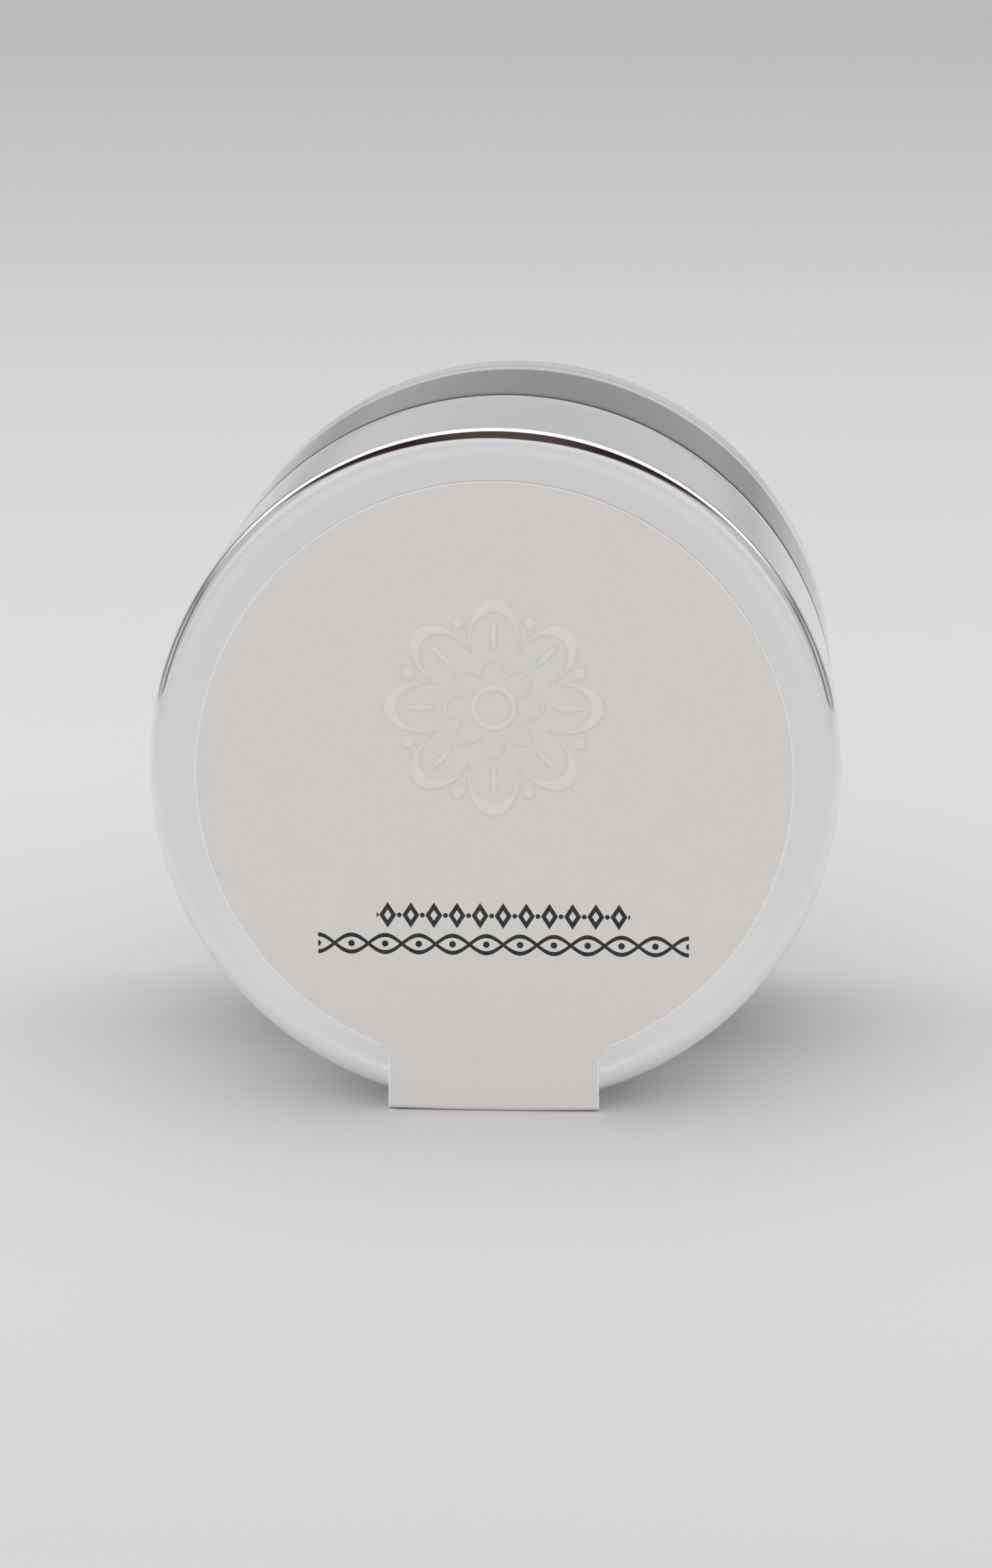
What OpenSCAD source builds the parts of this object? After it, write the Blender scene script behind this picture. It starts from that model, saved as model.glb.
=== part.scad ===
// Shoe cream jar with a polished metal screw lid and a paper seal label, lying on its side.
// The jar's axis runs along Y: the lid's face looks along -Y and the glass base along +Y.
// X is to the right, Z is up and the surface that the jar lies on is at Z = 0.

/* [Lid] */
// Outside diameter of the metal lid
lid_d = 65; // [52:0.5:80]
// Depth of the lid from its face to its open edge
lid_h = 24.5; // [18:0.5:35]
// Thickness of the metal
skin_t = 0.4; // [0.25:0.05:0.6]
// Radius of the lid's front edge
rim_r = 1.2; // [0.8:0.1:2]
// Width of the raised rim around the flat panel
rim_w = 1.5; // [1.2:0.1:2.4]
// Width of the slope from the rim down to the panel
slope_w = 0.5; // [0.2:0.1:0.8]
// How far the panel lies behind the rim
panel_recess = 0.1; // [0.02:0.02:0.2]
// Diameter of the hem rolled on the lid's open edge
hem_d = 0.8; // [0.7:0.05:1.2]

/* [Plastic insert] */
// Thickness of the insert's top plate
insert_top_t = 1.2; // [0.8:0.1:2]
// Thickness of the insert's threaded wall
insert_wall_t = 1.3; // [1:0.1:2]
// Hollow space between the threaded wall and the metal
skirt_space = 1.55; // [0.6:0.05:3]
// Height of the collars that centre the insert in the metal
collar_h = 2; // [1:0.25:4]
// Thickness of the foam wad
wad_t = 1.5; // [1:0.1:2.5]

/* [Thread] */
// Lead of the single-start screw thread
pitch = 4; // [3:0.25:5]
// Height of the thread above the neck
thread_h = 1.1; // [0.7:0.1:1.3]
// Number of turns of thread
thread_turns = 1.5; // [1:0.25:2]
// Width of a thread at its crest
crest_w = 0.8; // [0.5:0.1:1]
// Width of a thread at its root
root_w = 1.5; // [1:0.1:1.7]
// Distance from the neck's lip to the middle of the first thread
thread_drop = 2.6; // [1.5:0.1:5]

/* [Glass jar] */
// Length of the glass body from the shoulder to the base
body_h = 30; // [22:0.5:60]
// How much smaller the glass body's radius is than the lid's
body_step = 0; // [0:0.05:1]
// Thickness of the body's wall and shoulder
wall_t = 3; // [2:0.1:4.5]
// Thickness of the base
base_t = 5.5; // [3:0.1:8]
// Thickness of the neck's wall
neck_wall_t = 3; // [2:0.1:4]
// Radius of the shoulder's edge
shoulder_r = 0.6; // [0.4:0.1:2.5]
// Radius of the heel around the base
heel_r = 3; // [1:0.1:4]
// Radius inside the cavity at shoulder and floor
cavity_round = 3.5; // [1:0.1:5]
// Radius of the lip's outer edge
lip_r = 0.8; // [0.3:0.1:1.2]
// Width of the ring that the jar stands on
stand_w = 5; // [3:0.5:8]
// Height of the hollow under the base
punt_h = 0.9; // [0.4:0.1:2]

/* [Sealing disc] */
// Thickness of the disc's walls and flange
disc_t = 0.6; // [0.4:0.1:1]
// Depth of the disc's dished middle
dish_h = 5; // [4.5:0.1:7]
// Length of the finger lug
lug_l = 12; // [6:0.5:16]
// Height of the finger lug
lug_h = 3.6; // [2:0.1:4]
// Thickness of the finger lug
lug_t = 1.2; // [0.8:0.1:2]

/* [Polish] */
// Air left between the sealing disc and the polish
headspace = 1.6; // [0.5:0.1:5]

/* [Label] */
// Distance from the lid's edge to the label's edge
label_margin = 4.4; // [3.4:0.1:8]
// How far the label's middle lies below the lid's
label_drop = 0.45; // [0:0.05:0.8]
// Thickness of the paper
label_t = 0.3; // [0.1:0.05:0.4]
// Width of the tab that folds over the lid's edge
tab_w = 20; // [10:0.5:26]
// Radius where the tab leaves the round label
tab_fillet = 1; // [0.4:0.1:3]
// Outside radius of the tab's fold
fold_r = 0.5; // [0.4:0.05:1]
// Length of the torn-off end that stays on the glass
tail_l = 11; // [6:0.5:16]

/* [Clearances] */
// Gap between mating threads, measured across the radius
thread_gap = 0.3; // [0.2:0.05:0.5]
// Gap between the lid's open edge and the glass shoulder
lid_gap = 0.3; // [0.2:0.05:1]
// Gap between the insert and the metal around it
fit_gap = 0.05; // [0.02:0.01:0.1]
// Gap on each face of the foam wad
seal_gap = 0.02; // [0.01:0.01:0.05]
// Gap between the foam wad's edge and the thread inside the lid
wad_gap = 0.3; // [0.1:0.05:0.6]
// Gap between the sealing disc and the mouth of the jar
plug_gap = 0.2; // [0.1:0.05:0.4]
// Gap between the polish and the glass
fill_gap = 0.05; // [0.02:0.01:0.1]
// Width of the tear line between the label's tab and its end
tear_gap = 0.2; // [0.1:0.05:0.25]

/* [Hidden] */
$fn = 96;
ARC_STEPS = 8;
TURN_STEPS = 48;
// Share of a thread's length over which each of its ends fades out
FADE = 0.12;
// How far a thread's root and a fading crest lie inside the wall
ROOT_SINK = 0.2;
CREST_SINK = 0.1;
// Smallest inside radius of the formed metal
MIN_ROUND = 0.2;
LEAD_IN = 0.4;
// How far a cutting shape runs past what it cuts
OVERCUT = 1;
NECK_FILLET = 0.8;
PUNT_SLOPE = 2;

// Radii, from the metal inwards
lid_r = lid_d / 2;
inner_round = max(rim_r - skin_t, MIN_ROUND);
skin_in_r = lid_r - skin_t;
insert_r = skin_in_r - fit_gap;
bore_r = insert_r - skirt_space - insert_wall_t;
neck_r = bore_r - thread_gap - thread_h;
mouth_r = neck_r - neck_wall_t;
wad_r = neck_r + thread_gap - wad_gap;
flange_r = neck_r - lip_r;
plug_r = mouth_r - plug_gap;
body_r = lid_r - body_step;
cavity_r = body_r - wall_t;
stand_r = body_r - heel_r;
label_r = lid_r - label_margin;

// Depths along the axis, from the lid's front rim towards the glass base
skin_in_u = panel_recess + skin_t;
insert_u = skin_in_u + fit_gap;
ceiling_u = insert_u + insert_top_t;
wad_u = ceiling_u + seal_gap;
disc_u = wad_u + wad_t + seal_gap;
lip_u = disc_u + disc_t;
thread_u = lip_u + thread_drop;
insert_end_u = lid_h - hem_d - fit_gap;
shoulder_u = lid_h + lid_gap;
cavity_u = shoulder_u + wall_t;
base_u = shoulder_u + body_h;
floor_u = base_u - base_t;
dish_floor_u = disc_u + dish_h;
polish_u = dish_floor_u + disc_t + headspace;
tear_u = lid_h + lid_gap / 2;

// Place of the axis in the row frame
axis_z = max(lid_r, body_r) + label_t;
front_y = -(base_u - label_t) / 2;

// A stretch of circle in the half-plane of a turned profile: x is radius, y is depth
function arc(x, y, r, from, to) =
    [for (i = [0 : ARC_STEPS]) [x + r * cos(from + (to - from) * i / ARC_STEPS),
                                y + r * sin(from + (to - from) * i / ARC_STEPS)]];

// Turns a profile about the jar's axis
module turned(points) {
    rotate_extrude() polygon(points);
}

// Lays a shape built along +Z, with its front at 0, on its side in the row frame
module laid() {
    translate([0, front_y, axis_z]) rotate([-90, 0, 0]) children();
}

// A right-hand thread whose ends fade into the wall; out is 1 for a neck and -1 for a bore
module thread(wall_r, out, start_u) {
    steps = TURN_STEPS * thread_turns;
    half_crest = crest_w / 2;
    half_root = root_w / 2;
    // Share of the full height at one step along the thread, and the crest's radius there
    function fade(i) = min(1, i / steps / FADE, (1 - i / steps) / FADE);
    function crest(i) = wall_r + out * (thread_h * fade(i) - CREST_SINK * (1 - fade(i)));
    function ring(i) =
        let (a = 360 * i / TURN_STEPS,
             u = start_u + pitch * i / TURN_STEPS,
             root = wall_r - out * ROOT_SINK)
        [for (p = [[root, -half_root], [crest(i), -half_crest], [crest(i), half_crest], [root, half_root]])
            [p[0] * cos(a), p[0] * sin(a), u + p[1]]];
    points = [for (i = [0 : steps]) each ring(i)];
    sides = [for (i = [0 : steps - 1], k = [0 : 3])
        let (a = 4 * i + k, b = 4 * i + (k + 1) % 4)
        each [[a, b, b + 4], [a, b + 4, a + 4]]];
    last = 4 * steps;
    ends = [[0, 3, 2], [0, 2, 1], [last, last + 1, last + 2], [last, last + 2, last + 3]];
    faces = concat(sides, ends);
    // Seen from outside, a neck's faces and a bore's faces run opposite ways round
    polyhedron(points, out > 0 ? faces : [for (f = faces) [f[2], f[1], f[0]]]);
}

// Spun aluminium skin: rolled rim, slightly sunk panel, straight skirt and rolled hem
module lid_shell() {
    hem_r = hem_d / 2;
    outline = concat(
        [[0, panel_recess], [lid_r - rim_w - slope_w, panel_recess], [lid_r - rim_w, 0]],
        arc(lid_r - rim_r, rim_r, rim_r, -90, 0),
        arc(lid_r - hem_r, lid_h - hem_r, hem_r, 0, 180),
        [[lid_r - hem_d, lid_h - hem_d], [skin_in_r, lid_h - hem_d]],
        arc(skin_in_r - inner_round, skin_in_u + inner_round, inner_round, 0, -90),
        [[0, skin_in_u]]);
    color("gainsboro") laid() turned(outline);
}

// Moulded insert: top plate, threaded wall and two collars that centre it in the metal
module lid_insert() {
    edge = inner_round + fit_gap;
    wall_r = bore_r + insert_wall_t;
    outline = concat(
        [[0, insert_u]],
        arc(insert_r - edge, insert_u + edge, edge, -90, 0),
        [[insert_r, ceiling_u + collar_h], [wall_r, ceiling_u + collar_h],
         [wall_r, insert_end_u - collar_h], [insert_r, insert_end_u - collar_h],
         [insert_r, insert_end_u], [bore_r + LEAD_IN, insert_end_u],
         [bore_r, insert_end_u - LEAD_IN], [bore_r, ceiling_u], [0, ceiling_u]]);
    color("whitesmoke") laid() union() {
        turned(outline);
        thread(bore_r, -1, thread_u + pitch / 2);
    }
}

// Foam wad that seals the mouth
module lid_wad() {
    color("white") laid() translate([0, 0, wad_u]) cylinder(h = wad_t, r = wad_r);
}

// Glass jar: lip, threaded neck, shoulder, straight body, heel and hollow under the base
module glass_jar() {
    lip_in_r = lip_r / 2;
    neck_fillet = min(NECK_FILLET, (body_r - neck_r) / 3);
    punt_r = stand_r - stand_w;
    outline = concat(
        arc(mouth_r + lip_in_r, lip_u + lip_in_r, lip_in_r, -180, -90),
        arc(neck_r - lip_r, lip_u + lip_r, lip_r, -90, 0),
        arc(neck_r + neck_fillet, shoulder_u - neck_fillet, neck_fillet, 180, 90),
        arc(body_r - shoulder_r, shoulder_u + shoulder_r, shoulder_r, -90, 0),
        arc(body_r - heel_r, base_u - heel_r, heel_r, 0, 90),
        [[punt_r, base_u], [punt_r - PUNT_SLOPE * punt_h, base_u - punt_h],
         [0, base_u - punt_h], [0, floor_u]],
        cavity(0));
    color("lightsteelblue") laid() union() {
        turned(outline);
        thread(neck_r, 1, thread_u);
    }
}

// Wall of the jar's inside from the floor up to the mouth, drawn in by a gap
function cavity(gap) = concat(
    arc(cavity_r - cavity_round, floor_u - cavity_round, cavity_round - gap, 90, 0),
    arc(cavity_r - cavity_round, cavity_u + cavity_round, cavity_round - gap, 0, -90),
    [[mouth_r - gap, cavity_u + gap]]);

// The polish that fills the jar
module polish() {
    color("black") laid() turned(concat([[0, floor_u - fill_gap]], cavity(fill_gap),
                                        [[mouth_r - fill_gap, polish_u], [0, polish_u]]));
}

// Dished plastic disc that lies on the lip and plugs the mouth, with a lug to pull it by
module sealing_disc() {
    dish_r = plug_r - disc_t;
    lug_round = lug_t / 2;
    outline = [[0, dish_floor_u], [dish_r, dish_floor_u], [dish_r, disc_u], [flange_r, disc_u],
               [flange_r, lip_u - seal_gap], [plug_r, lip_u - seal_gap],
               [plug_r, dish_floor_u + disc_t], [0, dish_floor_u + disc_t]];
    color("white") laid() union() {
        turned(outline);
        translate([-lug_l / 2, -lug_t / 2, dish_floor_u - lug_h + lug_round])
            cube([lug_l, lug_t, lug_h]);
        translate([-lug_l / 2, 0, dish_floor_u - lug_h + lug_round])
            rotate([0, 90, 0]) cylinder(h = lug_l, r = lug_round);
    }
}

// Flat outline of one side's fillet between the round label and its tab
module label_fillet() {
    x = tab_w / 2 + tab_fillet;
    y = sqrt(pow(label_r + tab_fillet, 2) - x * x);
    polygon(concat(arc(x, y, tab_fillet, 180 + atan2(y, x), 180),
                   [[x - 2 * tab_fillet, y - 2 * tab_fillet]]));
}

// A stretch of the tab lying square to the axis, with its front at the given depth
module paper_flat(u, from_y, to_y) {
    half_w = tab_w / 2;
    translate([0, 0, u]) linear_extrude(height = label_t)
        polygon([[-half_w, from_y], [half_w, from_y], [half_w, to_y], [-half_w, to_y]]);
}

// A strip of paper lying along the axis under the given radius
module paper_strip(r, from_u, to_u) {
    translate([-tab_w / 2, r, from_u]) cube([tab_w, label_t, to_u - from_u]);
}

// Paper label on the lid: round face, tab over the rim, and the tab's run along the skirt
module lid_label() {
    // The tab's corners have to clear the slope up to the rim
    tab_from = sqrt(pow(lid_r - rim_w - slope_w, 2) - pow(tab_w / 2, 2));
    tab_to = lid_r + label_t;
    color("antiquewhite") laid() union() {
        translate([0, label_drop, panel_recess - label_t]) {
            cylinder(h = label_t, r = label_r);
            linear_extrude(height = label_t) {
                label_fillet();
                mirror([1, 0]) label_fillet();
            }
        }
        paper_flat(panel_recess - label_t, 0, tab_from);
        paper_flat(-label_t, tab_from - label_t, tab_to - fold_r);
        translate([-tab_w / 2, tab_to - fold_r, fold_r - label_t]) rotate([0, 90, 0]) tab_fold();
        paper_strip(lid_r, fold_r - label_t, tear_u - tear_gap / 2);
    }
}

// Quarter tube, along Z, that carries the paper round the fold
module tab_fold() {
    intersection() {
        difference() {
            cylinder(h = tab_w, r = fold_r);
            translate([0, 0, -OVERCUT]) cylinder(h = tab_w + 2 * OVERCUT, r = fold_r - label_t);
        }
        translate([0, 0, -OVERCUT])
            cube([fold_r + OVERCUT, fold_r + OVERCUT, tab_w + 2 * OVERCUT]);
    }
}

// The torn-off end of the label's tab, which stays on the glass
module seal_strip() {
    color("antiquewhite") laid()
        paper_strip(body_r, tear_u + tear_gap / 2, tear_u + tear_gap / 2 + tail_l);
}

glass_jar();
polish();
sealing_disc();
lid_wad();
lid_insert();
lid_shell();
lid_label();
seal_strip();
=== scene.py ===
# %% [markdown]
# # A jar of black shoe cream, lying on its side
#
# The object is a clear glass jar with a deep, bright metal screw lid. A round paper label
# covers the lid, and its tab folds over the lid's edge and runs under it as a paper seal.
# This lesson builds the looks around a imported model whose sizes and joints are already
# settled, so every piece below takes its place from that model and rides on its bodies.

# %% Load the fixed model
import math

import bmesh
import bpy
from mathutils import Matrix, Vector


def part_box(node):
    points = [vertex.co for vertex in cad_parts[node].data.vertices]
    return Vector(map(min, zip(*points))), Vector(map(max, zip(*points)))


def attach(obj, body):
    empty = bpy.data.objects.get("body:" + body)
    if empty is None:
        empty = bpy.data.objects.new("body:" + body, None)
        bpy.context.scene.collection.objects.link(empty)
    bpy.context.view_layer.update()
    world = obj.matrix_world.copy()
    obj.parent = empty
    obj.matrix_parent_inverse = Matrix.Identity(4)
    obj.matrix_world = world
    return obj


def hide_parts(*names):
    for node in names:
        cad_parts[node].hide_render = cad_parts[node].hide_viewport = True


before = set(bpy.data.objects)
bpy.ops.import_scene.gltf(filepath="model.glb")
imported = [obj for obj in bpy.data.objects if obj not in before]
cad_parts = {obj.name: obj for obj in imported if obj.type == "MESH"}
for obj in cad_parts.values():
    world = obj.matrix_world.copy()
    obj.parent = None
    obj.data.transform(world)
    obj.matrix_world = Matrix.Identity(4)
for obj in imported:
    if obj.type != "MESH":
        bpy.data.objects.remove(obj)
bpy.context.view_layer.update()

MM = 0.001

# %% [markdown]
# ## Reading sizes from the model
#
# Nearly everything here is turned about one axis, as on a lathe, so the handiest numbers are
# a radius and a depth behind the lid's front rim. Reading them from the model's boxes keeps
# the looks right when the design changes; only what a box can't show is written as a number.

# %% Radii and depths
shell_low, shell_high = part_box("lid_shell")
FRONT = shell_low.y
AXIS = (shell_low.z + shell_high.z) / 2
LID_R = (shell_high.x - shell_low.x) / 2 / MM
LID_H = (shell_high.y - FRONT) / MM


def span(node):
    """Largest radius, first depth and last depth of a turned node, in millimetres."""
    low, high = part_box(node)
    return (high.x - low.x) / 2 / MM, (low.y - FRONT) / MM, (high.y - FRONT) / MM


BODY_R, LIP_U, BASE_U = span("glass_jar")
FILL_U = span("polish")[1]
FLANGE_R, DISC_U, DISC_END_U = span("sealing_disc")
WAD_R, WAD_U, WAD_END_U = span("lid_wad")
INSERT_R, INSERT_U, INSERT_END_U = span("lid_insert")
LABEL_R = span("lid_label")[0]
PAPER_T = -span("lid_label")[1]
TAB_HALF, TAIL_U, TAIL_END_U = span("seal_strip")
print(f"lid {2 * LID_R:.1f} mm across and {LID_H:.1f} deep, jar ends at {BASE_U:.1f}")

# %% Sizes that a box can't show, in millimetres
SKIN_T = 0.4          # metal of the lid
RIM_ROUND = 1.2       # radius of the lid's front edge
RIM_W = 1.5           # raised rim around the panel
SLOPE_W = 1.0         # soft slope from the rim to the panel
PANEL_U = 0.1         # how far the panel lies behind the rim
HEM_D = 0.8           # rolled hem at the lid's open edge
GLASS_T = 3.0         # wall of the jar's body
NECK_WALL = 3.0       # wall of the jar's neck
LIP_ROUND = 0.8       # outer edge of the jar's lip
DISC_T = 0.6          # sealing disc
PITCH = 4.0           # lead of the screw thread
THREAD_H = 1.1        # height of the thread
THREAD_DROP = 2.6     # from the lip to the first thread
THREAD_GAP = 0.3      # clearance between the threads
THREAD_TURNS = 1.5    # turns of thread on neck and insert
LABEL_DROP = 0.45     # the label's middle lies this far under the lid's
LID_GAP = 0.3         # from the lid's hem to the jar's shoulder
FIT_GAP = 0.05        # between the insert and the metal
SEAL_GAP = 0.02       # on each face of the foam wad
PLUG_GAP = 0.2        # between the sealing disc and the jar's mouth
TEAR_GAP = 0.2        # tear line between the label's tab and the torn-off end

NECK_R = FLANGE_R + LIP_ROUND
MOUTH_R = NECK_R - NECK_WALL
BORE_R = NECK_R + THREAD_H + THREAD_GAP
CAVITY_R = BODY_R - GLASS_T
SHOULDER_U = LID_H + LID_GAP
print(f"neck {2 * NECK_R:.1f} mm across, mouth {2 * MOUTH_R:.1f}, thread bore {2 * BORE_R:.1f}")

# %% [markdown]
# ## The camera
#
# A long lens from a little above and slightly to the right gives the nearly flat, calm view of
# a catalogue. Aiming with a direction and an up vector, instead of typing angles, keeps
# the numbers few: where the camera stands, and which point it looks at.

# %% Camera
CAMERA_AZIMUTH = math.radians(2.83)
CAMERA_ELEVATION = math.radians(12.07)
CAMERA_DISTANCE = 427 * MM
CAMERA_LENS = 104.65
AIM_RIGHT = 0.21 * MM
AIM_DOWN = 0.99 * MM

face_middle = Vector((0, FRONT, AXIS))
towards = Vector((
    math.sin(CAMERA_AZIMUTH) * math.cos(CAMERA_ELEVATION),
    -math.cos(CAMERA_AZIMUTH) * math.cos(CAMERA_ELEVATION),
    math.sin(CAMERA_ELEVATION),
))
camera = bpy.data.objects.new("camera", bpy.data.cameras.new("camera"))
bpy.context.scene.collection.objects.link(camera)
camera.data.lens = CAMERA_LENS
camera.data.clip_start = 10 * MM
camera.data.clip_end = 60
camera.location = face_middle + towards * CAMERA_DISTANCE
right = Vector((0, 0, 1)).cross(towards).normalized()
upward = towards.cross(right).normalized()
aim = face_middle + right * AIM_RIGHT - upward * AIM_DOWN
camera.rotation_mode = "QUATERNION"
camera.rotation_quaternion = (aim - camera.location).to_track_quat("-Z", "Y")
bpy.context.scene.camera = camera
bpy.context.scene.view_settings.view_transform = "Standard"
print("camera stands at", [round(v / MM, 1) for v in camera.location], "mm")

# %% [markdown]
# ## Shader maths that reads like maths
#
# A node tree is a set of boxes and wires, which is hard to read as code. One small class wraps
# an output socket and gives it the usual operators, so `1 - mask * 0.2` adds the nodes by
# itself. A second class holds the tree and makes every other kind of node in one way: type,
# settings first, then the sockets.

# %% A socket with operators, and the tree it lives in
class Wire:
    """One output socket; sums on it add Math nodes to its tree."""

    def __init__(self, tree, socket):
        self.tree = tree
        self.socket = socket

    def __add__(self, other):
        return self.tree.math("ADD", self, other)

    def __radd__(self, other):
        return self.tree.math("ADD", other, self)

    def __sub__(self, other):
        return self.tree.math("SUBTRACT", self, other)

    def __rsub__(self, other):
        return self.tree.math("SUBTRACT", other, self)

    def __mul__(self, other):
        return self.tree.math("MULTIPLY", self, other)

    def __rmul__(self, other):
        return self.tree.math("MULTIPLY", other, self)

    def __truediv__(self, other):
        return self.tree.math("DIVIDE", self, other)

    def __rtruediv__(self, other):
        return self.tree.math("DIVIDE", other, self)

    def __pow__(self, other):
        return self.tree.math("POWER", self, other)

    def __neg__(self):
        return self.tree.math("MULTIPLY", self, -1.0)

    def __abs__(self):
        return self.tree.math("ABSOLUTE", self)


class Tree:
    """A node tree, emptied, with one way to add a node of any kind."""

    def __init__(self, node_tree):
        self.node_tree = node_tree
        node_tree.nodes.clear()

    def node(self, kind, settings=None, sockets=None, out=0):
        made = self.node_tree.nodes.new(kind)
        for key, value in (settings or {}).items():
            if key == "stops":
                self.set_stops(made.color_ramp, value)
            else:
                setattr(made, key, value)
        for key, value in (sockets or {}).items():
            socket = self.find(made.inputs, key)
            if isinstance(value, Wire):
                self.node_tree.links.new(value.socket, socket)
            else:
                socket.default_value = value
        if not made.outputs:
            return made
        return Wire(self, self.find(made.outputs, out))

    @staticmethod
    def find(sockets, key):
        """A socket by its number, its identifier or its name."""
        if isinstance(key, int):
            return sockets[key]
        for socket in sockets:
            if socket.identifier == key:
                return socket
        return sockets[key]

    @staticmethod
    def set_stops(ramp, stops):
        """Stops are (place, grey value) pairs, from low to high."""
        while len(ramp.elements) < len(stops):
            ramp.elements.new(0.5)
        for element, (place, value) in zip(ramp.elements, stops):
            element.position = place
            element.color = (value, value, value, 1)

    def math(self, operation, first, second=None):
        sockets = {0: first}
        if second is not None:
            sockets[1] = second
        return self.node("ShaderNodeMath", {"operation": operation}, sockets)

    def smooth(self, value, low, high):
        """0 below low, 1 above high, and a soft step between."""
        return self.node(
            "ShaderNodeMapRange",
            {"interpolation_type": "SMOOTHSTEP"},
            {"Value": value, "From Min": low, "From Max": high, "To Min": 0.0, "To Max": 1.0},
        )

    def blend(self, mask, first, second):
        """A colour that goes from first to second as mask goes from 0 to 1."""
        return self.node(
            "ShaderNodeMix",
            {"data_type": "RGBA"},
            {"Factor_Float": mask, "A_Color": first, "B_Color": second},
            out="Result_Color",
        )

    def split(self, vector):
        """The three parts of a vector, as three wires."""
        made = self.node("ShaderNodeSeparateXYZ", None, {"Vector": vector}).socket.node
        return [Wire(self, socket) for socket in made.outputs]

    def place(self):
        """Where a point lies, in the model's own frame, in metres."""
        return self.node("ShaderNodeTexCoord", out="Object")

    def noise(self, vector, scale, detail=3.0, roughness=0.5):
        return self.node(
            "ShaderNodeTexNoise",
            None,
            {"Vector": vector, "Scale": scale, "Detail": detail, "Roughness": roughness},
            out="Factor" if bpy.app.version >= (5, 0, 0) else "Fac",
        )

    def bump(self, height, depth):
        """Relief of the given depth in metres, as a normal."""
        return self.node(
            "ShaderNodeBump", None, {"Height": height, "Distance": depth, "Strength": 1.0}
        )


def finish_material(name, build):
    """A material whose Principled sockets are what build(tree) returns."""
    material = bpy.data.materials.new(name)
    material.use_nodes = True
    tree = Tree(material.node_tree)
    shader = tree.node("ShaderNodeBsdfPrincipled", None, build(tree))
    tree.node("ShaderNodeOutputMaterial", None, {"Surface": shader})
    print("material", name, "has", len(material.node_tree.nodes), "nodes")
    return material


# %% [markdown]
# ## Building turned pieces
#
# A potter's wheel makes a shape from one outline, and so does a short loop: the outline's
# points are (radius, depth) pairs, and each is swung round the axis. Doing this in code rather
# than with a Spin tool lets a second function push points in or out by angle, which is how the
# screw threads are raised later without any cutting and joining.

# %% Outline arcs and the lathe
SHARP_EDGE = math.radians(35)    # a steeper edge than this shows as a crease
ON_AXIS = 1e-6


def arc(radius, depth, size, start, stop, steps=10):
    """Points on a circle of that size around (radius, depth), from one angle to another."""
    points = []
    for i in range(steps + 1):
        angle = math.radians(start + (stop - start) * i / steps)
        points.append((radius + size * math.cos(angle), depth + size * math.sin(angle)))
    return points


def run(first, last, step):
    """Evenly spaced points on the line between two outline points, without the last."""
    count = max(1, round(math.dist(first, last) / step))
    return [
        (first[0] + (last[0] - first[0]) * i / count, first[1] + (last[1] - first[1]) * i / count)
        for i in range(count)
    ]


def ease(value):
    """A soft step from 0 to 1."""
    value = min(1.0, max(0.0, value))
    return value * value * (3 - 2 * value)


def spot(across, drop, depth):
    """A point of the model from millimetres right of, under and behind the lid's front middle."""
    return Vector((across * MM, FRONT + depth * MM, AXIS - drop * MM))


def add_object(name, bm, material, body, node):
    """Closes a bmesh into a piece that rides on a body and shows a material."""
    bmesh.ops.recalc_face_normals(bm, faces=bm.faces)
    for face in bm.faces:
        face.smooth = True
    for edge in bm.edges:
        edge.smooth = len(edge.link_faces) == 2 and edge.calc_face_angle(0) < SHARP_EDGE
    mesh = bpy.data.meshes.new(name)
    bm.to_mesh(mesh)
    bm.free()
    piece = bpy.data.objects.new(name, mesh)
    bpy.context.scene.collection.objects.link(piece)
    mesh.materials.append(material)
    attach(piece, body)
    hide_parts(node)
    print("made", name, "with", len(mesh.polygons), "faces")


def lathe(bm, outline, segments, push=None):
    """Swings an outline round the axis; push(radius, depth, turn) may change the radius."""
    rings = []
    for radius, depth in outline:
        if radius < ON_AXIS:
            rings.append([bm.verts.new(spot(0, 0, depth))])
            continue
        ring = []
        for i in range(segments):
            turn = i / segments
            swung = push(radius, depth, turn) if push else radius
            angle = 2 * math.pi * turn
            ring.append(bm.verts.new(spot(swung * math.cos(angle), swung * math.sin(angle), depth)))
        rings.append(ring)
    if len(rings[0]) > 1:
        rings.append(rings[0])
    for near, far in zip(rings, rings[1:]):
        for i in range(segments):
            j = (i + 1) % segments
            corners = [near[i % len(near)], near[j % len(near)], far[j % len(far)], far[i % len(far)]]
            unique = list(dict.fromkeys(corners))
            if len(unique) > 2:
                bm.faces.new(unique)


# %% [markdown]
# ## Floor and light
#
# The jar lies on a seamless white sweep. What makes bright metal look like metal is what it
# mirrors, so the surroundings matter more than the lamps: a large soft box overhead, a pale
# horizon all round, and a dim room on the camera's side that draws the dark line in the rim.
# Painting these into the world by direction is simpler than placing many cards. Matt things
# mirror nothing, so they can get a more even light than the metal does, as in a white tent.

# %% Floor
FLOOR_SIZE = 12.0
FLOOR_FROM = -1.0    # the painted light and shade on the paper change from here
FLOOR_TO = 2.5       # to here, in metres along the jar's axis
FLOOR_UNDER = 0.02   # millimetres of air under the jar
FLOOR_BRIGHT = 0.835
# Painted light and shade: brightness of the paper sweep at distances along it, in metres, next to its
# brightest place
PAINTED_SWEEP_LIGHT = [(-0.9, 0.92), (-0.5, 0.82), (-0.33, 0.83), (-0.2, 0.91), (-0.14, 0.89), (-0.05, 0.97),
         (0.12, 1.0), (0.54, 0.905), (0.87, 0.81), (1.55, 0.72), (2.15, 0.68)]


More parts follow.
